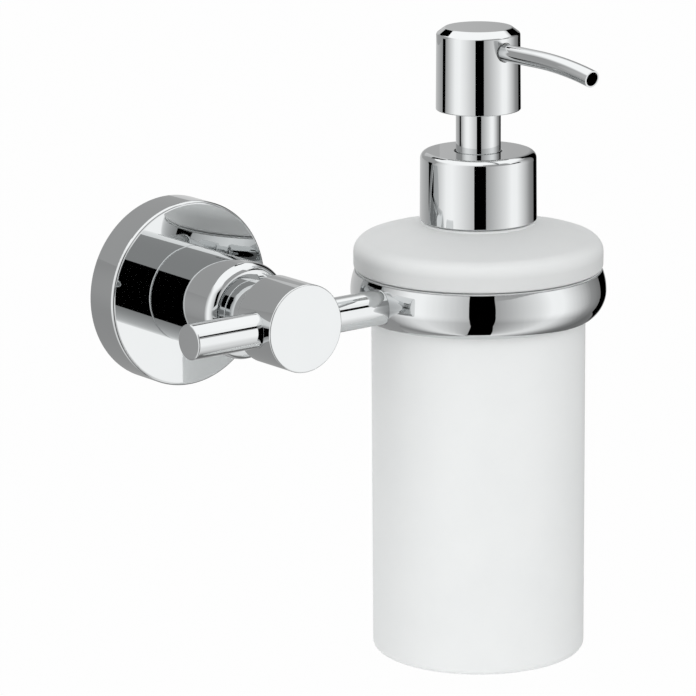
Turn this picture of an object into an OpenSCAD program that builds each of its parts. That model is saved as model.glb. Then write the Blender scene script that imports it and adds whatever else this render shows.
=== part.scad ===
// Wall mounted soap dispenser: a chrome holder on a round wall plate, and a
// frosted glass bottle with a hand pump that stands in the holder's ring.
// Frame: the wall is the plane y = 0, the holder reaches out along -y, +z is up,
// and the origin is the centre of the wall plate's back face. Millimetres.

/* [Wall plate] */
// Diameter of the round wall plate
plate_d = 52.4; // [46:0.2:64]
// How far the wall plate stands off the wall
plate_depth = 10.8; // [9.6:0.2:16]
// Thickness of the plate's rim
plate_wall = 1.6; // [1.2:0.1:2.4]
// Thickness of the plate's front
plate_front = 1.8; // [1.4:0.1:2.6]
// Radius on the plate's front edge
plate_edge = 0.9; // [0.3:0.1:1.2]

/* [Wall bracket] */
// Thickness of the bracket behind the wall plate
bracket_thick = 7; // [5:0.5:7.5]
// Play between the bracket and the plate's rim
bracket_play = 0.2; // [0.1:0.05:0.5]
// Distance between the two wall screw holes
hole_spacing = 30; // [27:0.5:34]
// Diameter of a wall screw hole
hole_d = 4.5; // [3.5:0.1:5]
// Diameter of a wall screw's countersunk head
hole_head_d = 8.6; // [7:0.2:9]
// Diameter of the opening round the post screw's head
hub_hole_d = 17; // [13:0.5:18]
// Depth of the plate's set screw in the bracket
bracket_bite = 2; // [1.5:0.1:3]

/* [Post] */
// Diameter of the post
post_d = 27.2; // [22:0.2:34]
// Length of the post, from the wall plate's front
post_len = 28.8; // [22:0.2:45]
// Radius on the post's front edge
post_edge = 1.9; // [0.5:0.1:3]

/* [Neck and knob] */
// Diameter of the neck between post and knob
neck_d = 18; // [15.6:0.2:22]
// Length of the neck
neck_len = 9.7; // [7:0.1:14]
// Chamfer on the neck's ends
neck_edge = 0.4; // [0.2:0.05:0.8]
// Diameter of the knob
knob_d = 24.3; // [20:0.1:32]
// Length of the knob
knob_len = 15.3; // [15:0.1:24]
// Chamfer on the knob's edges
knob_edge = 0.35; // [0.2:0.05:1]
// Diameter of the knob's spigot inside the neck
spigot_d = 12; // [10:0.5:13]

/* [Rod] */
// Diameter of the rod that goes through the knob
rod_d = 9.8; // [8:0.1:12]
// Reach of the rod's free end, from the post's axis
rod_reach = 33.3; // [24:0.1:45]
// Chamfer on the rod's free end
rod_edge = 0.4; // [0.2:0.05:1]

/* [Holder ring] */
// Distance from the post's axis to the ring's axis
ring_x = 66; // [54:0.5:90]
// Thickness of the ring at its belly
ring_belly = 4.7; // [4.2:0.05:6.5]
// Height of the ring's top face above the rod's axis
ring_top = 5.9; // [4.9:0.1:7.5]
// Radius of the ring's outer face above the belly
ring_upper_arc = 15.8; // [11:0.1:25]
// Radius of the ring's outer face below the belly
ring_lower_arc = 8.5; // [7.5:0.1:20]
// Depth of the ring's foot below the rod's axis
ring_drop = 6.6; // [5.5:0.1:7.4]
// Depth of the rod's socket in the ring, from the belly
socket_depth = 1.9; // [1.5:0.1:2.3]
// Thickness of the plastic liner in the ring
liner_wall = 0.7; // [0.6:0.05:1]
// Width of the liner's lip on the ring's top face
liner_lip = 3.2; // [1.5:0.1:3.6]
// Thickness of the liner's lip
liner_lip_thick = 0.4; // [0.3:0.05:0.8]
// How far above the ring's foot the liner ends
liner_short = 1.1; // [0.5:0.1:3]

/* [Bottle] */
// Outer diameter of the glass
glass_d = 60; // [50:1:76]
// Thickness of the glass wall
glass_wall = 2.6; // [2:0.1:4]
// Thickness of the bottle's floor
glass_floor = 5; // [3:0.5:8]
// Radius on the bottle's bottom edge
glass_edge = 2; // [1:0.5:5]
// Depth of the bottle's bottom below the rod's axis
bottle_drop = 104; // [84:0.5:140]
// Overhang of the flange beyond the glass
flange_over = 4.9; // [4.2:0.1:6]
// Radius on the flange's upper edge
flange_edge = 4; // [2:0.1:4]
// Radius on the flange's lower edge
flange_under = 0.9; // [0.3:0.1:1.5]
// Height of the flange's upright side, up to the middle of its rounding
flange_rise = 4.54; // [4.1:0.01:8]
// Slope of the shoulder in degrees
shoulder_slope = 14.3; // [10:0.1:18]
// Thickness of the glass between the shoulder's top and the inside
shoulder_wall = 5.5; // [3:0.1:8]
// Slope of the shoulder's inside in degrees
hollow_slope = 22.3; // [12:0.1:30]
// Height of the seat under the collar
seat_step = 0.7; // [0.4:0.1:2]
// How far the seat stays inside the collar
seat_inset = 0.3; // [0.1:0.1:1]
// Height of the threaded neck above the seat
finish_height = 14.4; // [13:0.1:20]
// Thickness of the neck's glass
finish_wall = 2.4; // [2:0.1:3]
// Depth of the neck's thread
thread_depth = 1; // [0.7:0.05:1.2]
// Pitch of the neck's thread
thread_pitch = 3.2; // [2.5:0.1:4]

/* [Collar] */
// Thickness of the chrome collar
collar_wall = 0.9; // [0.6:0.05:1.2]
// How much wider the collar's foot is than its top, on the radius
collar_draft = 0.15; // [0:0.05:0.3]
// Radius on the collar's upper edge
collar_edge = 2; // [0.5:0.1:2]
// Play round the stem where it goes through the collar
collar_play = 0.35; // [0.25:0.05:0.8]
// Thickness of the threaded insert's side
insert_wall = 1.4; // [1:0.1:2]
// Thickness of the threaded insert's top
insert_top = 1; // [0.8:0.1:1.6]
// How far the insert's foot stays inside the collar
insert_recess = 0.3; // [0:0.1:1]

/* [Pump] */
// Outer diameter of the chrome stem
stem_d = 12.5; // [10.5:0.1:15]
// Thickness of the chrome stem
stem_wall = 0.5; // [0.4:0.05:0.8]
// Travel of the pump head
stroke = 11; // [8:0.5:16]
// Gap left under the head when it is pressed fully
head_rest = 0.7; // [0.4:0.1:3]
// Thickness of the neck gasket
gasket_thick = 1.2; // [0.8:0.1:2]
// Thickness of the housing's flange
housing_flange = 1.5; // [1:0.1:2.2]
// Thickness of the housing's barrel
housing_wall = 1.25; // [1:0.05:2]
// Gap between the stem and the housing's bore
housing_bore_gap = 0.65; // [0.5:0.05:1.2]
// Length of the bore under the stop for the piston and its spring
chamber_len = 46; // [40:0.5:60]
// Thickness of the guide bush's skirt
bush_wall = 1.5; // [1.2:0.1:2.2]
// Length of the guide bush's skirt below the housing's flange
bush_len = 5.9; // [4:0.1:9]
// Thickness of the guide bush's flange
bush_flange = 1; // [0.6:0.1:1.1]
// Gap between the housing's barrel and the neck's bore
barrel_gap = 1; // [0.6:0.1:2]
// Outer diameter of the hollow piston rod
piston_rod_d = 7; // [5.5:0.1:8.5]
// Diameter of the soap channel through the piston rod
channel_d = 3.4; // [2.4:0.1:4]
// Thickness of the rod's collar that stops it under the guide bush
stop_thick = 1.8; // [1:0.1:3]
// Length of the rod's spigot in the chrome stem
stem_spigot = 3; // [2:0.5:6]
// Length of the rod between its stop and the piston
piston_drop = 7.2; // [5:0.1:9]
// Height of the piston seal
piston_height = 7; // [5:0.1:9]
// Thickness of the rod's foot under the piston
button_thick = 1.5; // [1:0.1:2.5]
// Gap between the return spring and the housing's bore
spring_play = 0.9; // [0.4:0.1:1.5]
// Wire diameter of the return spring
spring_wire = 1; // [0.7:0.05:1.2]
// Number of turns of the return spring
spring_turns = 8; // [6:1:11]
// Diameter of the two valve balls
ball_d = 5; // [4.4:0.1:6]
// How far each ball lifts off its seat
ball_lift = 1.2; // [0.6:0.1:2]
// Thickness of the ring that keeps the inlet ball in its cage
retainer_thick = 1.5; // [1:0.1:2.5]
// Thickness of the inlet valve's seat
ledge_thick = 1.6; // [1:0.1:2.5]
// Depth of the dip tube's socket
tube_socket_len = 9; // [5:0.5:12]
// Outer diameter of the dip tube
tube_d = 5.4; // [4.6:0.1:6.5]
// Thickness of the dip tube
tube_wall = 0.7; // [0.5:0.05:1]
// Gap between the dip tube's end and the bottle's floor
tube_floor_gap = 2; // [1:0.5:6]

/* [Pump head] */
// Diameter of the head at its lower edge
head_d = 23.6; // [20:0.1:30]
// How much narrower the head's shoulder is than its foot, on the radius
head_draft = 0.18; // [0:0.02:0.4]
// Height of the head
head_height = 23; // [20:0.1:34]
// Width of the bevel round the head's top
head_bevel_w = 2.3; // [0.8:0.1:3.5]
// Height of the bevel round the head's top
head_bevel_h = 1.7; // [0.6:0.1:3]
// Thickness of the chrome head
head_wall = 0.9; // [0.6:0.05:1.2]
// How far the core stays inside the head's lower edge
core_recess = 0.8; // [0.3:0.1:2]
// Depth of the stem's socket in the head's core
stem_socket = 5; // [3:0.1:6]
// Depth of the piston rod's socket in the head's core
rod_socket = 7.6; // [6:0.1:8]

/* [Spout] */
// Outer diameter of the spout
spout_d = 4.8; // [4:0.1:6]
// Thickness of the spout
spout_wall = 0.45; // [0.35:0.05:0.8]
// Depth of the spout's axis below the head's top
spout_drop = 5.7; // [5.2:0.1:7]
// Reach of the spout's tip from the pump's axis
spout_reach = 48; // [38:0.5:70]
// Length of the spout's straight part from the pump's axis
spout_straight = 25; // [18:0.5:32]
// How far the spout's tip points down, in degrees
spout_droop = 11.5; // [5:0.5:30]
// Depth of the spout in the core, from the head's skin
spout_socket = 7; // [4:0.1:8]
// Play round the spout in the chrome head's hole
spout_play = 0.35; // [0.2:0.05:0.6]

/* [Screws] */
// Diameter of the screw and the stud that hold the post
big_thread_d = 6; // [5:0.5:7]
// Head diameter of the post screw
big_head_d = 10.5; // [9:0.1:12]
// Head height of the post screw
big_head_h = 3.4; // [2.5:0.1:4]
// Depth that the post screw and the stud go into the post
big_thread_depth = 10; // [7:0.5:10]
// Diameter of the small set screws and the ring screw
small_thread_d = 4; // [3:0.5:4.5]
// Length of the rod's set screw
set_screw_len = 5; // [4:0.5:5.5]
// Head diameter of the ring screw
ring_head_d = 7.6; // [6:0.1:8]
// Head height of the ring screw
ring_head_h = 2.2; // [1.6:0.1:2.4]
// Length of the ring screw's thread in the rod
ring_thread_len = 9; // [6:0.5:12]

/* [Fits] */
// Gap between pieces that are pressed or screwed together
press_gap = 0.05; // [0.02:0.01:0.08]
// Gap between pieces that slide or turn in each other
run_gap = 0.08; // [0.05:0.01:0.1]
// Gap between pieces that only rest on each other
rest_gap = 0.3; // [0.25:0.05:0.5]
// Play of the glass in the liner, on the radius
glass_play = 0.35; // [0.3:0.05:0.6]

/* [Hidden] */
$fn = 72;

// Distances from the wall along the post
post_front = plate_depth + post_len;
knob_back = post_front + neck_len;
rod_y = knob_back + knob_len / 2;
bracket_r = plate_d / 2 - plate_wall - bracket_play;
// Radii of the ring, from the glass outwards
liner_in_r = glass_d / 2 + glass_play;
liner_out_r = liner_in_r + liner_wall;
ring_bore_r = liner_out_r + press_gap;
belly_r = ring_bore_r + ring_belly;
rod_end_x = ring_x - belly_r + socket_depth;
// Heights of the bottle, measured from the rod's axis
flange_z = ring_top + liner_lip_thick + rest_gap;
flange_r = glass_d / 2 + flange_over;
corner_r = flange_r - flange_edge;
corner_z = flange_z + flange_rise;
slope_z = corner_z + flange_edge / cos(shoulder_slope);
floor_z = -bottle_drop + glass_floor;
// Radii of the pump, from the stem outwards
stem_r = stem_d / 2;
bush_bore_r = stem_r + run_gap;
bush_r = bush_bore_r + bush_wall;
housing_bore_r = stem_r + housing_bore_gap;
barrel_r = bush_r + press_gap + housing_wall;
chamber_r = housing_bore_r + housing_wall;
finish_bore_r = barrel_r + barrel_gap;
finish_r = finish_bore_r + finish_wall;
thread_r = finish_r + thread_depth;
insert_bore_r = thread_r + rest_gap;
insert_r = insert_bore_r + insert_wall;
collar_r = insert_r + press_gap + collar_wall;
seat_r = collar_r - seat_inset;
// Heights of the neck, up the sloping shoulder
shoulder_z = round(100 * (slope_z + (corner_r - seat_r) * tan(shoulder_slope))) / 100;
seat_z = shoulder_z + seat_step;
finish_z = seat_z + finish_height;
// Heights of the pump's stack on the neck
collar_foot_z = seat_z + rest_gap;
gasket_z = finish_z + rest_gap;
housing_flange_z = gasket_z + gasket_thick;
housing_top_z = housing_flange_z + housing_flange;
insert_top_z = housing_top_z + rest_gap;
collar_under_z = insert_top_z + insert_top;
collar_top_z = collar_under_z + collar_wall;
head_foot_z = collar_top_z + stroke + head_rest;
head_top_z = head_foot_z + head_height;
spout_z = head_top_z - spout_drop;
// Heights inside the pump
bush_foot_z = housing_flange_z - bush_len;
stop_z = bush_foot_z - rest_gap;
piston_top_z = stop_z - stop_thick - piston_drop;
piston_foot_z = piston_top_z - piston_height;
chamber_z = stop_z - chamber_len;
spring_top_z = piston_foot_z - button_thick - run_gap;
spring_r = housing_bore_r - spring_play;
// The two ball valves, under the spring and on top of the piston rod
valve_bore_r = channel_d / 2;
valve_seat_depth = sqrt(pow(ball_d / 2, 2) - pow(valve_bore_r, 2)) + run_gap;
cage_r = ball_d / 2 + run_gap;
retainer_r = cage_r + 1;
ball_z = chamber_z - retainer_thick - ball_lift - ball_d / 2;
valve_seat_z = ball_z - valve_seat_depth;
tube_top_z = valve_seat_z - ledge_thick;
tube_foot_z = floor_z + tube_floor_gap;
core_foot_z = head_foot_z + core_recess;
stem_top_z = core_foot_z + stem_socket;
rod_top_z = core_foot_z + rod_socket - press_gap;
outlet_ball_z = rod_top_z + valve_seat_depth;

// Moves from the wall frame to the bottle's axis
module at_bottle() {
  translate([ring_x, -rod_y, 0]) children();
}

// Turns a piece drawn along +z so that it points out of the wall, starting d from it
module out_of_wall(d) {
  translate([0, -d, 0]) rotate([90, 0, 0]) children();
}

// A tube with its foot at z
module tube(r_out, r_in, z, len) {
  translate([0, 0, z]) difference() {
    cylinder(r = r_out, h = len);
    translate([0, 0, -1]) cylinder(r = r_in, h = len + 2);
  }
}

// A bar along +z with a chamfer c0 at its foot and c1 at its top
module chamfered_bar(r, len, c0, c1) {
  rotate_extrude() polygon([[0, 0], [r - c0, 0], [r, c0], [r, len - c1], [r - c1, len], [0, len]]);
}

// A bar along +z whose top edge is rounded with radius e
module round_bar(r, len, e) {
  rotate_extrude() union() {
    square([r, len - e]);
    square([r - e, len]);
    translate([r - e, len - e]) intersection() {
      circle(r = e);
      square(e);
    }
  }
}

// A hexagon socket, drawn downwards from z = 0
module hex_socket(across, depth) {
  translate([0, 0, -depth]) cylinder(d = across / cos(30), h = depth + 1, $fn = 6);
}

// A set screw along +z with its socket at the top
module set_screw(d, len) {
  tip_edge = 0.4;
  head_edge = 0.2;
  difference() {
    chamfered_bar(d / 2, len, tip_edge, head_edge);
    translate([0, 0, len]) hex_socket(d / 2, len / 3);
  }
}

// The die-cast bracket that is screwed to the wall
module wall_bracket() {
  back_edge = 0.3;
  front_edge = 0.8;
  sink = (hole_head_d - hole_d) / 2;
  color("darkgray") difference() {
    out_of_wall(0) chamfered_bar(bracket_r, bracket_thick, back_edge, front_edge);
    out_of_wall(-1) cylinder(d = hub_hole_d, h = bracket_thick + 2);
    for (side = [-1, 1]) translate([side * hole_spacing / 2, 0, 0]) {
      out_of_wall(-1) cylinder(d = hole_d, h = bracket_thick + 2);
      out_of_wall(bracket_thick - sink) cylinder(d1 = hole_d, d2 = hole_head_d + 2, h = sink + 1);
    }
    translate([0, -bracket_thick / 2, -bracket_r - 1])
      cylinder(d = small_thread_d + 2 * press_gap, h = bracket_bite + 1);
  }
}

// The chrome cup that covers the bracket
module wall_plate() {
  color("gainsboro") difference() {
    out_of_wall(0) round_bar(plate_d / 2, plate_depth, plate_edge);
    out_of_wall(-1) cylinder(r = plate_d / 2 - plate_wall, h = plate_depth - plate_front + 1);
    out_of_wall(0) cylinder(d = big_thread_d + 2 * press_gap, h = plate_depth + 1);
    translate([0, -bracket_thick / 2, -plate_d / 2 - 1])
      cylinder(d = small_thread_d + 2 * press_gap, h = plate_wall + 2);
  }
}

// The set screw under the plate that locks it on the bracket
module plate_set_screw() {
  sunk = 0.4;
  color("dimgray") translate([0, -bracket_thick / 2, -bracket_r + bracket_bite - press_gap])
    rotate([180, 0, 0]) set_screw(small_thread_d, plate_wall + bracket_play + bracket_bite - sunk);
}

// The solid post between the plate and the neck
module post() {
  thread_hole_d = big_thread_d + 2 * press_gap;
  color("gainsboro") difference() {
    out_of_wall(plate_depth) round_bar(post_d / 2, post_len, post_edge);
    out_of_wall(plate_depth - 1) cylinder(d = thread_hole_d, h = big_thread_depth + 2);
    out_of_wall(post_front - big_thread_depth - 1)
      cylinder(d = thread_hole_d, h = big_thread_depth + 2);
  }
}

// The screw that holds the post to the plate, from behind
module post_screw() {
  seat = plate_depth - plate_front;
  tip_edge = 0.5;
  color("dimgray") difference() {
    union() {
      out_of_wall(seat - big_head_h) cylinder(d = big_head_d, h = big_head_h);
      out_of_wall(seat)
        chamfered_bar(big_thread_d / 2, plate_front + big_thread_depth, 0, tip_edge);
    }
    out_of_wall(seat - big_head_h) mirror([0, 0, 1]) hex_socket(big_thread_d / 2, big_head_h / 2);
  }
}

// The stud that holds the knob to the post and ends against the rod
module knob_stud() {
  start = post_front - big_thread_depth;
  color("dimgray") out_of_wall(start)
    set_screw(big_thread_d, rod_y - rod_d / 2 - press_gap - start);
}

// The neck between the post and the knob
module neck_sleeve() {
  color("gainsboro") difference() {
    out_of_wall(post_front) chamfered_bar(neck_d / 2, neck_len, neck_edge, neck_edge);
    out_of_wall(post_front - 1) cylinder(r = spigot_d / 2 + press_gap, h = neck_len + 2);
  }
}

// The knob, with its spigot and the bore for the rod
module knob() {
  color("gainsboro") difference() {
    union() {
      out_of_wall(knob_back) chamfered_bar(knob_d / 2, knob_len, knob_edge, knob_edge);
      out_of_wall(post_front + press_gap) cylinder(d = spigot_d, h = neck_len);
    }
    out_of_wall(post_front - 1)
      cylinder(d = big_thread_d + 2 * press_gap, h = rod_y - post_front + 1);
    translate([-knob_d, -rod_y, 0]) rotate([0, 90, 0])
      cylinder(r = rod_d / 2 + press_gap, h = 2 * knob_d);
    translate([0, -rod_y, -knob_d]) cylinder(d = small_thread_d + 2 * press_gap, h = knob_d);
  }
}

// The rod that carries the ring
module rod() {
  color("gainsboro") difference() {
    translate([-rod_reach, -rod_y, 0]) rotate([0, 90, 0])
      chamfered_bar(rod_d / 2, rod_end_x + rod_reach, rod_edge, 0);
    translate([rod_end_x - ring_thread_len - 1, -rod_y, 0]) rotate([0, 90, 0])
      cylinder(d = small_thread_d + 2 * press_gap, h = ring_thread_len + 2);
  }
}

// The set screw under the knob that locks the rod
module rod_set_screw() {
  color("dimgray") translate([0, -rod_y, -rod_d / 2 - press_gap]) rotate([180, 0, 0])
    set_screw(small_thread_d, set_screw_len);
}

// Half of the ring's section: the outer arcs, cut at the top face and the foot
module ring_section() {
  intersection() {
    translate([belly_r - ring_upper_arc, 0]) circle(r = ring_upper_arc);
    translate([ring_bore_r, 0]) square([2 * ring_belly, ring_top]);
  }
  intersection() {
    translate([belly_r - ring_lower_arc, 0]) circle(r = ring_lower_arc);
    translate([ring_bore_r, -ring_drop]) square([2 * ring_belly, ring_drop]);
  }
}

// The chrome ring that carries the bottle
module holder_ring() {
  color("gainsboro") difference() {
    at_bottle() rotate_extrude($fn = 180) ring_section();
    translate([rod_end_x - 2 * rod_d, -rod_y, 0]) rotate([0, 90, 0])
      cylinder(r = rod_d / 2 + press_gap, h = 2 * rod_d);
    translate([rod_end_x - 1, -rod_y, 0]) rotate([0, 90, 0])
      cylinder(d = small_thread_d + 2 * press_gap, h = 2 * ring_belly);
    translate([ring_x - ring_bore_r - ring_head_h, -rod_y, 0]) rotate([0, 90, 0])
      cylinder(d1 = small_thread_d + 2 * press_gap, d2 = ring_head_d + 1, h = ring_head_h + 0.5);
  }
}

// The countersunk screw from the ring into the rod
module ring_screw() {
  head_x = ring_x - ring_bore_r - ring_head_h;
  key = 2.5;
  key_depth = 1.2;
  color("dimgray") difference() {
    union() {
      translate([head_x, -rod_y, 0]) rotate([0, 90, 0])
        cylinder(d1 = small_thread_d, d2 = ring_head_d, h = ring_head_h - press_gap);
      translate([rod_end_x - ring_thread_len, -rod_y, 0]) rotate([0, 90, 0])
        cylinder(d = small_thread_d, h = head_x - rod_end_x + ring_thread_len + 0.1);
    }
    translate([ring_x - ring_bore_r - press_gap, -rod_y, 0]) rotate([0, 90, 0])
      hex_socket(key, key_depth);
  }
}

// The plastic liner that keeps the glass off the ring
module ring_liner() {
  foot_z = liner_short - ring_drop;
  color("white") at_bottle() {
    tube(liner_out_r, liner_in_r, foot_z, ring_top + liner_lip_thick - foot_z);
    tube(ring_bore_r + liner_lip, liner_in_r, ring_top, liner_lip_thick);
  }
}

// Outer outline of the bottle, right of its axis
module bottle_outline() {
  // The body, with its rounded bottom edge
  translate([0, -bottle_drop + glass_edge]) square([glass_d / 2, bottle_drop + flange_z]);
  translate([0, -bottle_drop]) square([glass_d / 2 - glass_edge, bottle_drop]);
  translate([glass_d / 2 - glass_edge, -bottle_drop + glass_edge]) circle(r = glass_edge);
  // The flange and the sloping shoulder, with round corners
  translate([0, flange_z + flange_under]) square([flange_r, corner_z - flange_z - flange_under]);
  translate([0, flange_z]) square([flange_r - flange_under, flange_edge]);
  translate([flange_r - flange_under, flange_z + flange_under]) circle(r = flange_under);
  translate([corner_r, corner_z]) circle(r = flange_edge);
  polygon([[0, flange_z + flange_under], [flange_r, corner_z],
           [corner_r + flange_edge * sin(shoulder_slope),
            corner_z + flange_edge * cos(shoulder_slope)],
           [seat_r, shoulder_z], [0, shoulder_z]]);
  // The seat under the collar and the neck
  translate([0, shoulder_z - 1]) square([seat_r, seat_step + 1]);
  translate([0, seat_z - 1]) square([finish_r, finish_height + 1]);
  // The crests of the thread
  for (turn = [1 : 3]) translate([finish_r, finish_z - turn * thread_pitch])
    circle(r = thread_depth);
}

// The inside of the bottle, right of its axis
module bottle_hollow() {
  hollow_r = glass_d / 2 - glass_wall;
  under_neck_z = shoulder_z - shoulder_wall;
  slope_foot_z = under_neck_z - (hollow_r - finish_bore_r) * tan(hollow_slope);
  translate([0, floor_z]) square([hollow_r - glass_edge, 2 * glass_edge]);
  translate([0, floor_z + glass_edge]) square([hollow_r, slope_foot_z - floor_z - glass_edge]);
  translate([hollow_r - glass_edge, floor_z + glass_edge]) circle(r = glass_edge);
  polygon([[0, slope_foot_z - 1], [hollow_r, slope_foot_z - 1], [hollow_r, slope_foot_z],
           [finish_bore_r, under_neck_z], [0, under_neck_z]]);
  translate([0, under_neck_z - 1]) square([finish_bore_r, finish_z - under_neck_z + 2]);
}

// The frosted glass bottle
module bottle() {
  color("whitesmoke") at_bottle() rotate_extrude($fn = 180) difference() {
    bottle_outline();
    bottle_hollow();
  }
}

// The soft ring between the neck and the pump
module neck_gasket() {
  color("white") at_bottle() tube(finish_r, barrel_r + run_gap, gasket_z, gasket_thick);
}

// The pump's housing: flange, barrel, valve seat and tube socket
module pump_housing() {
  shoulder = 2;
  floor_thick = 1.2;
  socket_wall = 1.1;
  socket_z = tube_top_z - tube_socket_len;
  socket_r = tube_d / 2 + press_gap;
  color("white") at_bottle() difference() {
    union() {
      translate([0, 0, housing_flange_z]) cylinder(r = finish_r, h = housing_flange);
      translate([0, 0, bush_foot_z - shoulder])
        cylinder(r = barrel_r, h = housing_flange_z - bush_foot_z + shoulder);
      translate([0, 0, chamber_z - floor_thick])
        cylinder(r = chamber_r, h = stop_z - chamber_z);
      translate([0, 0, tube_top_z])
        cylinder(r = retainer_r + housing_wall, h = chamber_z - tube_top_z);
      translate([0, 0, socket_z]) cylinder(r = socket_r + socket_wall, h = tube_socket_len + 1);
    }
    // The guide bush's seat
    translate([0, 0, bush_foot_z])
      cylinder(r = bush_r + press_gap, h = bush_len + housing_flange + 1);
    // The bore for the piston
    translate([0, 0, chamber_z]) cylinder(r = housing_bore_r, h = chamber_len + 2);
    // The retainer's seat, the ball's cage and the valve's seat
    translate([0, 0, chamber_z - retainer_thick]) cylinder(r = retainer_r, h = retainer_thick + 1);
    translate([0, 0, valve_seat_z]) cylinder(r = cage_r, h = chamber_z - valve_seat_z);
    translate([0, 0, tube_top_z - 1]) cylinder(r = valve_bore_r, h = ledge_thick + 2);
    // The dip tube's socket
    translate([0, 0, socket_z - 1]) cylinder(r = socket_r, h = tube_socket_len + 1);
  }
}

// The bush that guides the stem and stops the piston's return
module guide_bush() {
  color("white") at_bottle() {
    tube(bush_r, bush_bore_r, bush_foot_z, bush_len + housing_flange + bush_flange);
    tube(barrel_r, bush_bore_r, housing_top_z, bush_flange);
  }
}

// The steel spring that returns the piston
module return_spring() {
  sides = 8;
  steps = 20 * spring_turns;
  wire_r = spring_wire / 2;
  coil_r = spring_r - wire_r;
  z0 = chamber_z + wire_r + run_gap;
  rise = spring_top_z - wire_r - run_gap - z0;
  points = [for (i = [0 : steps]) let (t = i / steps, turn = 360 * spring_turns * t)
            for (j = [0 : sides - 1]) let (a = 360 * j / sides, r = coil_r + wire_r * cos(a))
            [r * cos(turn), r * sin(turn), z0 + rise * t + wire_r * sin(a)]];
  walls = [for (i = [0 : steps - 1], j = [0 : sides - 1]) let (k = (j + 1) % sides)
           [i * sides + j, (i + 1) * sides + j, (i + 1) * sides + k, i * sides + k]];
  foot = [for (j = [0 : sides - 1]) j];
  top = [for (j = [0 : sides - 1]) steps * sides + sides - 1 - j];
  color("silver") at_bottle() polyhedron(points, concat(walls, [foot, top]));
}

// The ring that keeps the ball in its cage
module ball_retainer() {
  color("white") at_bottle()
    tube(retainer_r - press_gap, valve_bore_r, chamber_z - retainer_thick, retainer_thick);
}

// The ball of the inlet valve
module inlet_ball() {
  color("silver") at_bottle() translate([0, 0, ball_z]) sphere(d = ball_d);
}

// The tube that draws soap from the bottle's floor
module dip_tube() {
  color("white") at_bottle()
    tube(tube_d / 2, tube_d / 2 - tube_wall, tube_foot_z, tube_top_z - tube_foot_z);
}

// The chrome collar over the threaded insert
module collar_shell() {
  color("gainsboro") at_bottle() difference() {
    rotate_extrude() union() {
      polygon([[0, collar_foot_z], [collar_r + collar_draft, collar_foot_z],
               [collar_r, collar_top_z - collar_edge], [0, collar_top_z - collar_edge]]);
      translate([0, collar_top_z - 2 * collar_edge]) square([collar_r - collar_edge, 2 * collar_edge]);
      translate([collar_r - collar_edge, collar_top_z - collar_edge]) intersection() {
        circle(r = collar_edge);
        square(collar_edge);
      }
    }
    translate([0, 0, collar_foot_z - 1])
      cylinder(r = insert_r + press_gap, h = collar_under_z - collar_foot_z + 1);
    translate([0, 0, collar_under_z - 1]) cylinder(r = stem_r + collar_play, h = collar_wall + 2);
  }
}

// The threaded insert that presses the pump on the neck
module collar_insert() {
  foot_z = collar_foot_z + insert_recess;
  color("white") at_bottle() difference() {
    translate([0, 0, foot_z]) cylinder(r = insert_r, h = collar_under_z - foot_z);
    translate([0, 0, foot_z - 1]) cylinder(r = insert_bore_r, h = insert_top_z - foot_z + 1);
    translate([0, 0, insert_top_z - 1]) cylinder(r = barrel_r + rest_gap, h = insert_top + 2);
  }
}

// The seal that slides in the housing's bore
module piston_seal() {
  lip = 1.2;
  lip_thick = 1;
  color("lightgray") at_bottle() rotate_extrude() difference() {
    translate([piston_rod_d / 2 + run_gap, piston_foot_z])
      square([housing_bore_r - run_gap - piston_rod_d / 2 - run_gap, piston_height]);
    // The waist between the two sealing lips
    translate([housing_bore_r - run_gap - lip_thick, piston_foot_z + lip])
      square([lip_thick + 1, piston_height - 2 * lip]);
  }
}

// The hollow rod from the piston up into the head
module piston_rod() {
  stop_r = (stem_r + housing_bore_r) / 2;
  foot_z = piston_foot_z - run_gap - button_thick;
  color("white") at_bottle() difference() {
    union() {
      translate([0, 0, foot_z]) cylinder(r = spring_r, h = button_thick);
      translate([0, 0, foot_z]) cylinder(d = piston_rod_d, h = rod_top_z - foot_z);
      translate([0, 0, stop_z - stop_thick]) cylinder(r = stop_r, h = stop_thick);
      translate([0, 0, stop_z - stop_thick])
        cylinder(r = stem_r - stem_wall - press_gap, h = stop_thick + stem_spigot);
    }
    translate([0, 0, foot_z - 1]) cylinder(d = channel_d, h = rod_top_z - foot_z + 2);
  }
}

// The chrome sleeve that shows between collar and head
module stem_sleeve() {
  color("gainsboro") at_bottle()
    tube(stem_r, stem_r - stem_wall, stop_z + press_gap, stem_top_z - stop_z - 2 * press_gap);
}

// The ball of the outlet valve, on top of the piston rod
module outlet_ball() {
  color("silver") at_bottle() translate([0, 0, outlet_ball_z]) sphere(d = ball_d);
}

// The plastic core of the head, which joins the rod to the spout
module head_core() {
  core_r = head_d / 2 - head_draft - head_wall - press_gap;
  top_z = head_top_z - head_bevel_h - head_wall;
  color("white") at_bottle() difference() {
    translate([0, 0, core_foot_z]) cylinder(r = core_r, h = top_z - core_foot_z);
    // The sockets of the stem and the rod
    tube(stem_r + press_gap, stem_r - stem_wall - press_gap, core_foot_z - 1, stem_socket + 1);
    translate([0, 0, core_foot_z - 1])
      cylinder(r = piston_rod_d / 2 + press_gap, h = rod_socket + 1);
    // The outlet ball's cage, and the soap's way up and out
    cylinder(r = cage_r, h = outlet_ball_z + ball_d / 2 + ball_lift);
    cylinder(d = channel_d, h = spout_z);
    translate([0, 0, spout_z]) rotate([90, 0, 0]) cylinder(d = channel_d, h = core_r);
    translate([0, -core_r + spout_socket - head_wall, spout_z]) rotate([90, 0, 0])
      cylinder(r = spout_d / 2 + press_gap, h = core_r);
  }
}

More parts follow.
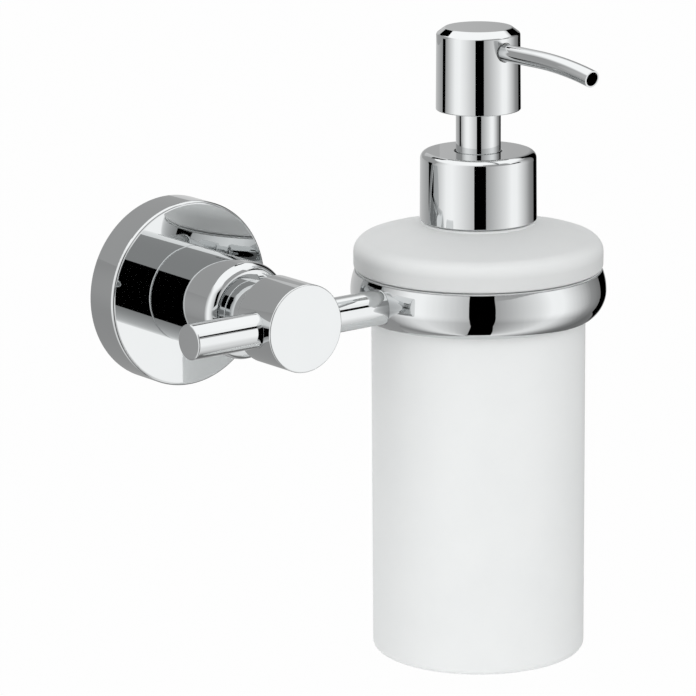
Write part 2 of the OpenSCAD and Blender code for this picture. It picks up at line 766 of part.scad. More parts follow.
// The chrome head
module head_shell() {
  foot_r = head_d / 2;
  shoulder_r = foot_r - head_draft;
  shoulder_top_z = head_top_z - head_bevel_h;
  inner_r = shoulder_r - head_wall;
  color("gainsboro") at_bottle() difference() {
    rotate_extrude() difference() {
      polygon([[0, head_foot_z], [foot_r, head_foot_z], [shoulder_r, shoulder_top_z],
               [shoulder_r - head_bevel_w, head_top_z], [0, head_top_z]]);
      polygon([[0, head_foot_z - 1], [inner_r, head_foot_z - 1],
               [inner_r, shoulder_top_z - head_wall],
               [inner_r - head_bevel_w, head_top_z - head_wall], [0, head_top_z - head_wall]]);
    }
    translate([0, 0, spout_z]) rotate([90, 0, 0]) cylinder(r = spout_d / 2 + spout_play, h = head_d);
  }
}

// A straight and then drooping bar along the spout's axis
module spout_path(d, start, extra) {
  // Rounded, so that the straight and the bent stretch meet exactly
  arc_r = round(100 * (spout_reach - spout_straight) / sin(spout_droop)) / 100;
  translate([0, -start, spout_z]) rotate([90, 0, 0]) cylinder(d = d, h = spout_straight - start);
  translate([0, -spout_straight, spout_z - arc_r]) rotate([0, -90, 0])
    rotate_extrude(angle = -spout_droop - extra) translate([arc_r, 0]) circle(d = d);
}

// The spout
module spout() {
  start = head_d / 2 - spout_socket;
  color("gainsboro") at_bottle() difference() {
    spout_path(spout_d, start, 0);
    spout_path(spout_d - 2 * spout_wall, start - 1, 1);
  }
}

wall_bracket();
wall_plate();
plate_set_screw();
post();
post_screw();
knob_stud();
neck_sleeve();
knob();
rod();
rod_set_screw();
holder_ring();
ring_screw();
ring_liner();
bottle();
neck_gasket();
pump_housing();
guide_bush();
return_spring();
ball_retainer();
inlet_ball();
dip_tube();
collar_shell();
collar_insert();
piston_seal();
piston_rod();
stem_sleeve();
outlet_ball();
head_core();
head_shell();
spout();
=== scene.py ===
import math

import bmesh
import bpy
from mathutils import Matrix, Vector


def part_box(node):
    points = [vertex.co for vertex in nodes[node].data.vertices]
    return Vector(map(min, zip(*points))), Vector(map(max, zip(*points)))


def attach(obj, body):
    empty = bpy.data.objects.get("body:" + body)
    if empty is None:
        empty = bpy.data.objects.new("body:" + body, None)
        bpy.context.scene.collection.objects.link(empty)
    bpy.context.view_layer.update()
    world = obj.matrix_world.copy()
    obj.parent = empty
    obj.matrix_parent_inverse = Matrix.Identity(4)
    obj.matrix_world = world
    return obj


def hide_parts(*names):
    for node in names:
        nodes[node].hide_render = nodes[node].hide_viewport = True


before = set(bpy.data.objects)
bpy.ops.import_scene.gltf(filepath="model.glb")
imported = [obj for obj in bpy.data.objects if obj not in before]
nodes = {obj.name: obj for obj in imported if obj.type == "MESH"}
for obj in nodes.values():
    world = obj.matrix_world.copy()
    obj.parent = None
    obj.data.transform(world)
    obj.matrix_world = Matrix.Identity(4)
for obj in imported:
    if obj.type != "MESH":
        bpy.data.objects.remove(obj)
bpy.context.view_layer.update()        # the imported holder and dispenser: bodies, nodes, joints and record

MM = 0.001


# Wall plate: a drawn brass cup that hides the bracket and is locked on it by a screw from below.
# It is plated with bright chrome and polished, so all that shows is the studio in the metal, with
# the faint smears that a cloth leaves.
class Socket:
    """One shader value or colour; the operators on a value add Math nodes."""

    def __init__(self, finish, socket):
        self.finish, self.socket = finish, socket

    def maths(self, operation, first, second):
        return self.finish.node("Math", {0: first, 1: second}, operation=operation)

    def __add__(self, other):
        return self.maths("ADD", self, other)

    def __rsub__(self, other):
        return self.maths("SUBTRACT", other, self)

    def __mul__(self, other):
        return self.maths("MULTIPLY", self, other)

    __radd__, __rmul__ = __add__, __mul__

    def above(self, edge, soft):
        """0 below the edge and 1 above it, over a soft stretch."""
        return self.finish.node("MapRange", {0: self, 1: edge, 2: edge + soft, 3: 0.0, 4: 1.0})


class Finish:
    """A node material for one finish of this object."""

    def __init__(self, name, **fixed):
        self.material = bpy.data.materials.new(name)
        self.material.use_nodes = True
        self.tree = self.material.node_tree
        self.shader = self.tree.nodes["Principled BSDF"]
        for socket, value in fixed.items():
            self.shader.inputs[socket.replace("_", " ")].default_value = value
        self.place = self.node("TexCoord", out="Object")

    def node(self, kind, sockets=None, out=0, **settings):
        made = self.tree.nodes.new("ShaderNode" + kind)
        for key, value in settings.items():
            setattr(made, key, value)
        for key, value in (sockets or {}).items():
            self.feed(made.inputs[key], value)
        return Socket(self, made.outputs[out])

    def feed(self, target, value):
        if isinstance(value, Socket):
            self.tree.links.new(value.socket, target)
        else:
            target.default_value = value

    def noise(self, size, detail=2.0, stretch=(1, 1, 1)):
        """A cloudy value from 0 to 1 whose patches are about size metres wide."""
        spread = self.node("Mapping", {"Vector": self.place, "Scale": stretch})
        return self.node("TexNoise", {"Vector": spread, "Scale": 1 / size, "Detail": detail}, out="Fac")

    def blend(self, share, low, high):
        """A colour between low and high."""
        return self.node("Mix", {0: share, 6: (*low, 1), 7: (*high, 1)}, out=2, data_type="RGBA")

    def bump(self, height, depth):
        """Surface relief of the given depth in metres."""
        return self.node("Bump", {"Height": height, "Distance": depth, "Strength": 1.0}, out="Normal")

    def put(self, **sockets):
        """Links what changes over the surface to the shader."""
        for socket, value in sockets.items():
            self.feed(self.shader.inputs[socket.replace("_", " ")], value)
        return self.material


def plated(name, smear_size):
    """Bright chrome plate: mirror polished, barely wavy, with the faintest wiping marks."""
    finish = Finish(name, Metallic=1.0)
    cloud = finish.noise(smear_size, detail=3.0)
    wiped = finish.noise(4 * MM, detail=4.0, stretch=(1, 1, 0.25)).above(0.5, 0.3)
    return finish.put(Base_Color=finish.blend(cloud, (0.625, 0.64, 0.645), (0.66, 0.672, 0.675)),
                      Roughness=0.018 + 0.022 * cloud * wiped,
                      Normal=finish.bump(finish.noise(14 * MM, detail=0.0), 0.002 * MM))


def dress(material, *names):
    """Gives CAD nodes whose shape stays a better material."""
    for name in names:
        for slot in nodes[name].material_slots:
            slot.material = material


chrome = plated("chrome_plate", 18 * MM)
dress(chrome, "wall_plate")


# Bracket and screws: the bracket is a zinc casting with the matt grain of its mould, the screws are
# zinc-plated steel turned on an automatic lathe and hold the holder together. The two small valve
# balls of the pump have the same bright steel look.
casting = Finish("cast_zinc", Metallic=0.85)
cast_grain = casting.noise(0.7 * MM, detail=5.0)
cast_cloud = casting.noise(9 * MM)
dress(casting.put(Base_Color=casting.blend(cast_cloud, (0.42, 0.43, 0.44), (0.56, 0.57, 0.58)),
                  Roughness=0.42 + 0.2 * cast_grain,
                  Normal=casting.bump(cast_grain, 0.08 * MM)),
      "wall_bracket")

zinc = Finish("zinc_plated_steel", Metallic=1.0)
zinc_cloud = zinc.noise(1.5 * MM, detail=3.0)
tool_marks = zinc.noise(0.25 * MM, detail=1.0)
dress(zinc.put(Base_Color=zinc.blend(zinc_cloud, (0.5, 0.52, 0.56), (0.66, 0.66, 0.64)),
               Roughness=0.24 + 0.16 * tool_marks,
               Normal=zinc.bump(tool_marks, 0.01 * MM)),
      "plate_set_screw", "post_screw", "knob_stud", "rod_set_screw", "ring_screw",
      "inlet_ball", "outlet_ball")


# Post and neck: the solid turned post that is screwed to the plate from behind, and the thinner
# chrome sleeve between post and knob. The sleeve is turned from tube, with a fine rounding on both
# ends, and slides over the knob's spigot.
GUARD = 0.04 * MM               # straight stretch kept on either side of a rounding
ARC_STEPS = 7                   # flats in one rounding
LATHE_STEPS = 200               # flats round a turned piece
THREAD_STEPS = 96               # sections in one turn of a thread
CREASE = math.radians(32)       # edges sharper than this stay hard


def edge_chain(bm, outline, closed):
    """Wire vertices through (radius, height, rounding) corners, in millimetres, with the corners rounded."""
    spots = [Vector((r * MM, 0, z * MM)) for r, z, _ in outline]
    count = len(spots)
    chain, corners = [], []
    for i, (spot, (_, _, rounding)) in enumerate(zip(spots, outline)):
        if not rounding:
            chain.append(bm.verts.new(spot))
            continue
        before, after = spots[i - 1] - spot, spots[(i + 1) % count] - spot
        reach = rounding * MM / math.tan(before.angle(after) / 2)
        chain.append(bm.verts.new(spot + before.normalized() * (reach + GUARD)))
        chain.append(bm.verts.new(spot))
        corners.append((chain[-1], reach))
        chain.append(bm.verts.new(spot + after.normalized() * (reach + GUARD)))
    for first, second in zip(chain, chain[1:] + (chain[:1] if closed else [])):
        bm.edges.new((first, second))
    for corner, reach in corners:
        bmesh.ops.bevel(bm, geom=[corner], offset=reach, offset_type="OFFSET", segments=ARC_STEPS,
                        profile=0.5, affect="VERTICES", material=-1)


def finished(name, bm, material, body, cad_nodes, turn=None, move=None):
    """Makes the object from a bmesh, smooth but for its creases, and puts it on its body in place of the CAD
    nodes it hides.
    """
    bmesh.ops.remove_doubles(bm, verts=bm.verts, dist=1e-7)
    bmesh.ops.recalc_face_normals(bm, faces=bm.faces)
    if turn is not None:
        bmesh.ops.transform(bm, matrix=turn, verts=bm.verts)
    if move is not None:
        bmesh.ops.translate(bm, vec=move, verts=bm.verts)
    for face in bm.faces:
        face.smooth = True
    for edge in bm.edges:
        edge.smooth = edge.calc_face_angle(0) < CREASE
    mesh = bpy.data.meshes.new(name)
    bm.to_mesh(mesh)
    bm.free()
    mesh.materials.append(material)
    piece = bpy.data.objects.new(name, mesh)
    bpy.context.scene.collection.objects.link(piece)
    if body:
        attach(piece, body)
        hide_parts(*cad_nodes)
    return piece


def wind_thread(bm, radius, start, ridge, pitch, turns):
    """A blunt ridge wound round a neck of this radius, from start upwards; all in millimetres."""
    sunk, proud = 0.3, 0.6
    root, crest, blunt = radius - sunk, radius + proud, 0.3 * ridge
    section = [(root, -ridge), (crest, -blunt), (crest, blunt), (root, ridge)]
    edge = [bm.verts.new((r * MM, 0, (start + z) * MM)) for r, z in section]
    face = bm.faces.new(edge)
    bmesh.ops.spin(bm, geom=[face, *face.edges, *edge], angle=math.tau * turns,
                   steps=int(THREAD_STEPS * turns), axis=(0, 0, 1), cent=(0, 0, 0),
                   dvec=(0, 0, pitch / THREAD_STEPS * MM), use_merge=False)
    # the two open ends of the ridge, whose edges are the only short ones
    ends = [e for e in bm.edges if e.is_boundary and e.calc_length() < 2 * MM]
    bmesh.ops.holes_fill(bm, edges=ends)


def turned(name, outline, material, body, cad_nodes, turn=None, move=None, thread=None):
    """A solid turned on a lathe from its outline, with a wound thread where one is given."""
    bm = bmesh.new()
    edge_chain(bm, outline, closed=outline[0][0] > 0)
    bmesh.ops.spin(bm, geom=[*bm.verts, *bm.edges], angle=math.tau, steps=LATHE_STEPS,
                   axis=(0, 0, 1), cent=(0, 0, 0), use_merge=True)
    if thread:
        wind_thread(bm, *thread)
    return finished(name, bm, material, body, cad_nodes, turn, move)


def lengths(node):
    """A node's lowest and highest corners, in millimetres."""
    low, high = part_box(node)
    return low / MM, high / MM


OUT_OF_WALL = Matrix.Rotation(math.radians(90), 4, "X")
low, high = lengths("post")
post_r, post_back, post_front = high.x, -high.y, -low.y
back_round, front_round = 0.45, 3
turned("post", [(0, post_back, 0), (post_r, post_back, back_round),
                (post_r, post_front, front_round), (0, post_front, 0)],
       chrome, "holder", ["post"], turn=OUT_OF_WALL)

low, high = lengths("neck_sleeve")
neck_r, neck_back, neck_front = high.x, -high.y, -low.y
neck_bore, neck_round = 6.05, 0.35
turned("neck", [(neck_bore, neck_back, 0), (neck_r, neck_back, neck_round),
                (neck_r, neck_front, neck_round), (neck_bore, neck_front, 0)],
       chrome, "holder", ["neck_sleeve"], turn=OUT_OF_WALL)


# Knob: the solid turned knob that the rod passes through, with its spigot in the neck. The rod is
# locked by a set screw in the threaded hole underneath.
def cutter(radius, foot, length, turn=None, move=None):
    """A round cutter along +z, for a drilled hole."""
    bm = bmesh.new()
    bmesh.ops.create_cone(bm, cap_ends=True, segments=96, radius1=radius * MM, radius2=radius * MM,
                          depth=length * MM, matrix=Matrix.Translation((0, 0, (foot + length / 2) * MM)))
    return finished("cutter", bm, None, None, (), turn, move)


SAME_WAY = 0.9998               # cosine within which a face still lies on the turned side


def drilled(piece, centre, axis, cutters):
    """Cuts holes and gives the turned side, which runs round the axis, its exact shading back."""
    for tool in cutters:
        cut = piece.modifiers.new("hole", "BOOLEAN")
        cut.object, cut.solver, cut.operation = tool, "EXACT", "DIFFERENCE"
    seen = piece.evaluated_get(bpy.context.evaluated_depsgraph_get())
    mesh = bpy.data.meshes.new_from_object(seen)
    piece.modifiers.clear()
    piece.data = mesh
    for tool in cutters:
        bpy.data.objects.remove(tool)

    def outward(spot):
        reach = spot - centre
        return (reach - axis * reach.dot(axis)).normalized()

    shading = [corner.vector.copy() for corner in mesh.corner_normals]
    for face in mesh.polygons:
        if face.normal.dot(outward(face.center)) > SAME_WAY:
            for i in face.loop_indices:
                shading[i] = outward(mesh.vertices[mesh.loops[i].vertex_index].co)
    mesh.normals_split_custom_set(shading)


low, high = lengths("knob")
knob_r, knob_front, knob_back = high.x, -low.y, neck_front
rod_low, rod_high = lengths("rod")
rod_r, rod_y = rod_high.z, (rod_low.y + rod_high.y) / 2
fit_gap, set_screw_r = 0.05, 2.05
knob_round, spigot_r, spigot_end, spigot_round = 0.4, neck_bore - fit_gap, -high.y, 0.3
knob = turned("knob", [(0, spigot_end, 0), (spigot_r, spigot_end, spigot_round), (spigot_r, knob_back, 0),
                       (knob_r, knob_back, knob_round), (knob_r, knob_front, knob_round),
                       (0, knob_front, 0)],
              chrome, "holder", ["knob"], turn=OUT_OF_WALL)
ALONG_X = Matrix.Rotation(math.radians(90), 4, "Y")
rod_axis = Vector((0, rod_y * MM, 0))
drilled(knob, rod_axis, Vector((0, 1, 0)),
        [cutter(rod_r + fit_gap, -knob_r * 2, knob_r * 4, ALONG_X, rod_axis),
         cutter(set_screw_r, -knob_r * 2, knob_r * 2, None, rod_axis)])


# Rod: drawn bar with a rounded free end, plated like the rest. Its other end is let into the ring
# and held by the screw inside the ring.
rod_round = 0.45
turned("rod", [(0, rod_low.x, 0), (rod_r, rod_low.x, rod_round), (rod_r, rod_high.x, 0),
               (0, rod_high.x, 0)],
       chrome, "holder", ["rod"], turn=ALONG_X, move=rod_axis)


# Ring: a turned brass ring with a bulged outside, plated like the rest. The rod's end is let into
# it and screwed from inside, and the bottle's flange hangs on it.
dress(chrome, "holder_ring")


# Liner: a thin lip-and-sleeve moulding of milky plastic, snapped into the ring so that glass and
# chrome never touch. Only the rim of its lip shows, as the fine line under the bottle's flange.
milky = Finish("milky_plastic", IOR=1.46, Transmission_Weight=0.35)
milky_cloud = milky.noise(6 * MM)
milky.put(Base_Color=milky.blend(milky_cloud, (0.8, 0.82, 0.82), (0.88, 0.9, 0.9)),
          Roughness=0.34 + 0.12 * milky_cloud,
          Normal=milky.bump(milky.noise(0.4 * MM), 0.01 * MM))
low, high = lengths("ring_liner")
bottle_low, bottle_high = lengths("bottle")
stand = Vector(((bottle_low.x + bottle_high.x) / 2, (bottle_low.y + bottle_high.y) / 2, 0)) * MM
lip_r, sleeve_r, inside_r, lip_thick = (high.x - low.x) / 2, 31.05, 30.35, 0.4
turned("liner", [(inside_r, low.z, 0.2), (sleeve_r, low.z, 0.2), (sleeve_r, high.z - lip_thick, 0),
                 (lip_r, high.z - lip_thick, 0.1), (lip_r, high.z, 0.25), (inside_r, high.z, 0.3)],
       milky.material, "holder", ["ring_liner"], move=stand)


# Bottle: a blown and ground glass bottle, satin etched all over. Its flange hangs on the ring, the
# shoulder slopes up to a small seat under the collar, and the neck carries the thread.
frost = Finish("satin_etched_glass", IOR=1.5, Transmission_Weight=0.25, Specular_IOR_Level=0.4)
etch = frost.noise(0.22 * MM, detail=3.0)
clouds = frost.noise(14 * MM, detail=2.0)
# painted shade and light: the flange's side, from just above its foot, is painted greyer, and the shoulder
# above it painted paler, as the light falls on them
rim_painted_shade, rim_from, shoulder_painted_light, shoulder_from = 0.17, 5.6, 0.21, 10.5
up = frost.node("SeparateXYZ", {0: frost.place}, out="Z")
# depth is this painted shade and light by height, which scales the glass colour
depth = 1 - rim_painted_shade * up.above(rim_from * MM, 1 * MM) + shoulder_painted_light * up.above(shoulder_from * MM, 3 * MM)
glass = frost.blend(clouds, (0.79, 0.805, 0.805), (0.83, 0.842, 0.84))
frost.put(Base_Color=frost.node("VectorMath", {0: glass, 3: depth}, operation="SCALE"),
          Roughness=0.5 + 0.1 * etch,
          Normal=frost.bump(etch, 0.012 * MM))
foot_z, top_z = bottle_low.z, bottle_high.z
glass_r, flange_r, flange_foot = 30.0, (bottle_high.x - bottle_low.x) / 2, 6.6
shoulder_z, seat_z, seat_r = 19.1, 19.8, 15.88
slope = math.radians(14.3)
corner_z = shoulder_z + (seat_r - flange_r) * math.tan(slope)
finish_r, finish_bore, hollow_r, floor_z = 12.53, 10.13, 27.4, foot_z + 5
hollow_top, hollow_slope = 13.6, 6.52
dent_r, dent_edge, dent_top, stand_r = 19, 1.1, 1.6, 25
thread_start, ridge, pitch, turns = 2.6, 0.8, 3.2, 1.5
turned("bottle", [(0, foot_z + dent_top, 0), (dent_r, foot_z + dent_edge, 8), (stand_r, foot_z, 2),
                  (glass_r, foot_z, 2),
                  (glass_r, flange_foot, 0.8), (flange_r, flange_foot, 0.9), (flange_r, corner_z, 4),
                  (seat_r, shoulder_z, 0.25), (seat_r, seat_z, 0.3), (finish_r, seat_z, 0.5),
                  (finish_r, top_z, 0.5), (finish_bore, top_z, 0.5), (finish_bore, hollow_top, 3),
                  (hollow_r, hollow_slope, 4), (hollow_r, floor_z, 4), (0, floor_z + 1.2, 0)],
       frost.material, "bottle", ["bottle"], move=stand,
       thread=(finish_r, seat_z + thread_start, ridge, pitch, turns))


# Pump works inside the bottle: injection-moulded white plastic parts with a satin skin, a soft
# gasket and piston, a clear dip tube, and a return spring coiled from stainless wire.
moulded = Finish("moulded_white_plastic", IOR=1.46)
skin = moulded.noise(0.5 * MM, detail=3.0)
moulded_cloud = moulded.noise(8 * MM)
moulded.put(Base_Color=moulded.blend(moulded_cloud, (0.82, 0.82, 0.8), (0.88, 0.88, 0.87)),
            Roughness=0.36 + 0.14 * skin,
            Normal=moulded.bump(skin, 0.015 * MM))
dress(moulded.material, "pump_housing", "guide_bush", "collar_insert", "piston_rod", "head_core",
      "ball_retainer")

soft = Finish("soft_white_seal", IOR=1.42)
soft_skin = soft.noise(0.6 * MM, detail=4.0)
dress(soft.put(Base_Color=soft.blend(soft_skin, (0.66, 0.66, 0.65), (0.74, 0.74, 0.73)),
               Roughness=0.6 + 0.2 * soft_skin,
               Normal=soft.bump(soft_skin, 0.03 * MM)),
      "neck_gasket", "piston_seal")

dress(milky.material, "dip_tube")
spring_wire = plated("stainless_wire", 3 * MM)
dress(spring_wire, "return_spring")


# Collar: a deep-drawn chrome cap over the threaded insert, with a soft rounding round its top, a
# turned-in edge at the stem's hole and a fine rounding at its foot.
low, high = lengths("collar_shell")
collar_foot, collar_top = low.z, high.z
skirt_taper, top_thick, hole_r = 0.15, 0.9, 6.6
foot_r = (high.x - low.x) / 2
collar_r = foot_r - skirt_taper
skirt_in = collar_r - top_thick
turned("collar", [(skirt_in, collar_foot, 0.2), (foot_r, collar_foot, 0.25), (collar_r, collar_top, 2),
                  (hole_r, collar_top, 0.3), (hole_r, collar_top - top_thick, 0.2),
                  (skirt_in, collar_top - top_thick, 0)],
       chrome, "closure", ["collar_shell"], move=stand)


# Stem: the chrome tube over the piston rod. It slides through the collar and moves with the head.
low, high = lengths("stem_sleeve")
stem_r, stem_wall = (high.x - low.x) / 2, 0.5
turned("stem", [(stem_r - stem_wall, low.z, 0), (stem_r, low.z, 0.15), (stem_r, high.z, 0.15),
                (stem_r - stem_wall, high.z, 0)],
       chrome, "head", ["stem_sleeve"], move=stand)


# Head: the drawn chrome cap that is pressed down, with a wide bevel round its top, softened on both
# edges, and the hole for the spout pierced in its side.
low, high = lengths("head_shell")
head_foot, head_top, head_r = low.z, high.z, (high.x - low.x) / 2
draft, head_wall, bevel_wide, bevel_high = 0.18, 0.9, 2.3, 1.7
inner_r = head_r - draft - head_wall
ledge = head_top - bevel_high
head = turned("head", [(0, head_top - head_wall, 0), (inner_r - bevel_wide, head_top - head_wall, 0),
                       (inner_r, ledge - head_wall, 0), (inner_r, head_foot, 0.2), (head_r, head_foot, 0.3),
                       (head_r - draft, ledge, 0.9), (head_r - draft - bevel_wide, head_top, 0.7),
                       (0, head_top, 0)],
              chrome, "head", ["head_shell"], move=stand)
spout_low, spout_high = lengths("spout")
spout_r = (spout_high.x - spout_low.x) / 2
spout_z = spout_high.z - spout_r
spout_axis = stand + Vector((0, 0, spout_z * MM))
pierced_gap = 0.35
drilled(head, stand, Vector((0, 0, 1)),
        [cutter(spout_r + pierced_gap, 0, 2 * head_r, OUT_OF_WALL, spout_axis)])


# Spout: a thin drawn tube, plated inside and out, pressed into the head's core. It runs straight
# out of the head and then droops in one even arc to its open mouth.
straight_end, reach, droop = 25.0, 48.0, math.radians(11.5)
arc_r = (reach - straight_end) / math.sin(droop)
tube_wall, tube_steps, bend_steps = 0.45, 64, 24
bore_r = spout_r - tube_wall
bm = bmesh.new()
bmesh.ops.create_circle(bm, cap_ends=False, segments=tube_steps, radius=spout_r * MM)
bmesh.ops.create_circle(bm, cap_ends=False, segments=tube_steps, radius=bore_r * MM)
bmesh.ops.bridge_loops(bm, edges=bm.edges)
bmesh.ops.rotate(bm, matrix=OUT_OF_WALL.to_3x3(), verts=bm.verts)
bmesh.ops.translate(bm, vec=(0, spout_high.y * MM - stand.y, 0), verts=bm.verts)
push = bmesh.ops.extrude_face_region(bm, geom=bm.faces, use_keep_orig=True)["geom"]
moved = [v for v in push if isinstance(v, bmesh.types.BMVert)]
start_y = -spout_high.y + stand.y / MM
bmesh.ops.translate(bm, vec=(0, -(straight_end - start_y) * MM, 0), verts=moved)
front = [f for f in push if isinstance(f, bmesh.types.BMFace)]
bmesh.ops.spin(bm, geom=[*front, *{e for f in front for e in f.edges}, *moved], angle=droop,
               steps=bend_steps, axis=(1, 0, 0), cent=(0, -straight_end * MM, -arc_r * MM),
               use_merge=False)
wall_inside = [f for f in bm.faces if f in front]
bmesh.ops.delete(bm, geom=wall_inside, context="FACES_ONLY")
finished("spout", bm, chrome, "head", ["spout"], move=spout_axis)


# Studio: a pale floor far below the holder, and round it a closed light tent that only the chrome
# sees. Black flags and grey cards inside the tent make the dark bands in the metal, and three soft
# lamps light the glass.
REFLECTED = 0.65


def light(tone):
    """The glow that shows as this tone, from 0 to 255, in the chrome."""
    share = tone / 255
    return (share / 12.92 if share < 0.04045 else ((share + 0.055) / 1.055) ** 2.4) / REFLECTED


def glowing(finish, colour):
    """Turns a finish into a plain glow of this colour."""
    glow = finish.tree.nodes.new("ShaderNodeEmission")
    finish.feed(glow.inputs["Color"], colour)
    finish.tree.links.new(glow.outputs[0], finish.tree.nodes["Material Output"].inputs["Surface"])
    finish.tree.nodes.remove(finish.shader)
    return finish.material


def mirrored_only(name, bm, material):
    """A card that shows in reflections alone."""
    card = finished(name, bm, material, None, ())
    card.visible_camera = card.visible_diffuse = card.visible_shadow = False
    card.visible_transmission = card.visible_volume_scatter = False


lens_az, lens_pitch, lens_roll = math.radians(37.394), math.radians(13.942), math.radians(-0.434)
towards = Vector((math.sin(lens_az), math.cos(lens_az), 0))
to_right = Vector((math.cos(lens_az), -math.sin(lens_az), 0))


def compass(degrees):
    """The level direction this far to the right of the camera, as seen from the bottle."""
    angle = math.radians(degrees)
    return to_right * math.sin(angle) - towards * math.cos(angle)


# tones round the tent, by degrees to the right of the camera
TENT_TONES = [(-180, 180), (-160, 176), (-138, 165), (-122, 150), (-108, 136), (-98, 160), (-80, 208),
              (-66, 236), (-52, 240), (-34, 223), (-12, 192), (13, 148), (20, 160), (32, 180), (56, 218),
              (68, 239), (80, 238), (96, 202), (116, 138), (132, 110), (160, 112), (172, 150), (180, 180)]
tent_r, tent_low, tent_high, ceiling_from = 1.3, -0.85, 1.3, 0.8
cloth = Finish("tent_cloth")
facing = cloth.node("Mapping", {"Vector": cloth.place, "Rotation": (0, 0, math.radians(90) + lens_az)})
around = cloth.node("TexGradient", {"Vector": facing}, out="Fac", gradient_type="RADIAL")
sides = cloth.node("ValToRGB", {"Fac": around}, out="Color")
ramp = sides.socket.node.color_ramp
stops = [((180 + angle) / 360, light(tone)) for angle, tone in TENT_TONES]
ramp.elements[0].position, ramp.elements[1].position = stops[0][0], stops[-1][0]
for position, _ in stops[1:-1]:
    ramp.elements.new(position)
for element, (_, glow) in zip(ramp.elements, stops):
    element.color = (glow, glow, glow, 1)
height = cloth.node("SeparateXYZ", {0: cloth.place}, out="Z")
ceiling = height.above(ceiling_from, tent_high - ceiling_from)
bm = bmesh.new()
bmesh.ops.create_cone(bm, cap_ends=True, segments=128, radius1=tent_r, radius2=tent_r,
                      depth=tent_high - tent_low,
                      matrix=Matrix.Translation((0, 0, (tent_high + tent_low) / 2)))
# the tent is dimmer towards the floor, and its ceiling is nearly white
foot_share, ceiling_tone = 0.78, 244
lit = foot_share + (1 - foot_share) * height.above(-0.8, 0.45)
shaded = cloth.node("VectorMath", {0: sides, 3: lit}, operation="SCALE")
whole = cloth.node("Mix", {0: ceiling, 6: shaded, 7: (*[light(ceiling_tone)] * 3, 1)},
                   out=2, data_type="RGBA")
mirrored_only("tent", bm, glowing(cloth, whole))


def card(name, corners, tone):
    """A flat card through these corners."""
    bm = bmesh.new()
    bm.faces.new([bm.verts.new(corner) for corner in corners])
    mirrored_only(name, bm, glowing(Finish(name + "_tone"), (*[light(tone)] * 3, 1)))


def upright(name, first, second, foot, top, tone):
    """A standing card between two level points."""
    corners = ((first, foot), (second, foot), (second, top), (first, top))
    card(name, [Vector((p.x, p.y, z)) for p, z in corners], tone)


# black flags: a long strip between camera and holder, which the camera looks through, its level
# part below the holder, and short flags near the holder
strip_away, strip_left, strip_right, strip_foot, strip_top = 0.8, 0.137, 0.19, -0.8, 0.46
near_away, near_half = 0.06, 0.08
far, near = stand - towards * strip_away, stand - towards * near_away
drop = Vector((0, 0, strip_foot))
upright("flag_front", far - to_right * strip_left, far + to_right * strip_right, strip_foot, strip_top, 0)
card("flag_below", [far - to_right * strip_left + drop, far + to_right * strip_right + drop,
                    near + to_right * near_half + drop, near - to_right * near_half + drop], 0)
upright("flag_left", stand + compass(-99.5) * 0.15, stand + compass(-112) * 0.15, -0.012, 0.052, 0)
upright("flag_crown", stand + compass(-134) * 0.12, stand + compass(-158) * 0.12, 0.118, 0.185, 0)
upright("flag_right", stand + compass(136) * 0.5, stand + compass(161) * 0.5, -0.25, 0.45, 0)
upright("softbox_edge", compass(73) * 1.2, compass(96) * 1.2, 0.46, 0.72, 12)

# grey cards: the dim wall side of the studio, and the wing beside the camera
wall_left, wall_step, wall_right = (Vector((x, 0.09, 0)) for x in (-0.11, 0.075, 0.17))
upright("wall_above", wall_left, wall_step, 0.045, 0.16, 146)
upright("wall_side", wall_step, wall_right, 0.045, 0.083, 152)
upright("wall_below", compass(-98) * 0.75, compass(-178) * 0.75, -0.84, -0.25, 135)
upright("wing_above", compass(14) * 0.9, compass(72) * 0.9, 0.3, 0.95, 150)

# the floor glows white to the eye and keeps a soft shadow
pale = Finish("pale_floor", Roughness=0.9, Base_Color=(0.95, 0.95, 0.95, 1))
white = pale.tree.nodes.new("ShaderNodeEmission")
glow_share, floor_drop, floor_r = 0.94, 1, 9
mixed = pale.node("MixShader", {0: glow_share, 1: Socket(pale, pale.shader.outputs[0]),
                                2: Socket(pale, white.outputs[0])})
pale.tree.links.new(mixed.socket, pale.tree.nodes["Material Output"].inputs["Surface"])
floor_height = foot_z * MM - floor_drop
bm = bmesh.new()
bmesh.ops.create_circle(bm, cap_ends=True, segments=96, radius=floor_r,
                        matrix=Matrix.Translation((0, 0, floor_height)))
floor = finished("floor", bm, pale.material, None, ())
floor.visible_glossy = False

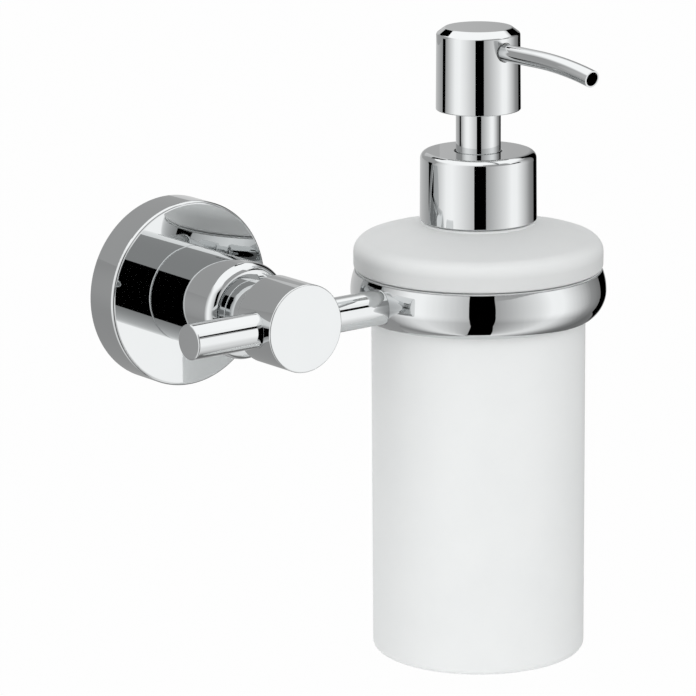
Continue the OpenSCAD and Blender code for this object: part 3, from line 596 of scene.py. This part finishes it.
# even light from all round, which the lens, the chrome and the light through the glass see as white
world = bpy.data.worlds.new("studio")
bpy.context.scene.world = world
world.use_nodes = True
even = world.node_tree.nodes["Background"]
even.inputs["Color"].default_value = (1, 1, 1, 1)
ways = world.node_tree.nodes.new("ShaderNodeLightPath")
sums = [world.node_tree.nodes.new("ShaderNodeMath") for _ in range(2)]
sums[0].operation = sums[1].operation = "MAXIMUM"
level = world.node_tree.nodes.new("ShaderNodeMapRange")
even_light = 0.86
level.inputs["To Min"].default_value = even_light
for source, target in ((ways.outputs["Is Camera Ray"], sums[0].inputs[0]),
                       (ways.outputs["Is Glossy Ray"], sums[0].inputs[1]),
                       (sums[0].outputs[0], sums[1].inputs[0]),
                       (ways.outputs["Is Transmission Ray"], sums[1].inputs[1]),
                       (sums[1].outputs[0], level.inputs["Value"]),
                       (level.outputs[0], even.inputs["Strength"])):
    world.node_tree.links.new(source, target)

# soft lamps: degrees to the right of the camera, distance, height and watts
lamp_size = 1.0
for name, angle, away, height_above, energy in (("lamp_front", 26, 1.3, 0.75, 4.8),
                                               ("lamp_low", -22, 1.2, -0.35, 4.5),
                                               ("lamp_back", -150, 1.2, 0.15, 5)):
    lamp = bpy.data.lights.new(name, "AREA")
    lamp.energy, lamp.size = energy, lamp_size
    lamp_object = bpy.data.objects.new(name, lamp)
    lamp_object.location = stand + compass(angle) * away + Vector((0, 0, height_above))
    lamp_object.rotation_euler = (lamp_object.location - stand).to_track_quat("Z", "Y").to_euler()
    lamp_object.visible_glossy = False
    bpy.context.scene.collection.objects.link(lamp_object)

# the camera stands in front and to the left, a little above the holder
lens_spot, focal_length, sensor = Vector((-0.65117, -0.93497, 0.26449)), 215.14, 36
lens = bpy.data.cameras.new("camera")
lens.lens, lens.sensor_width = focal_length, sensor
camera = bpy.data.objects.new("camera", lens)
view_line = towards * math.cos(lens_pitch) - Vector((0, 0, math.sin(lens_pitch)))
level_up = to_right.cross(view_line)
right_line = to_right * math.cos(lens_roll) + level_up * math.sin(lens_roll)
camera.matrix_world = Matrix.Translation(lens_spot) @ Matrix(
    (right_line, right_line.cross(view_line), -view_line)).transposed().to_4x4()
bpy.context.scene.collection.objects.link(camera)
bpy.context.scene.camera = camera
bpy.context.scene.view_settings.view_transform = "Standard"
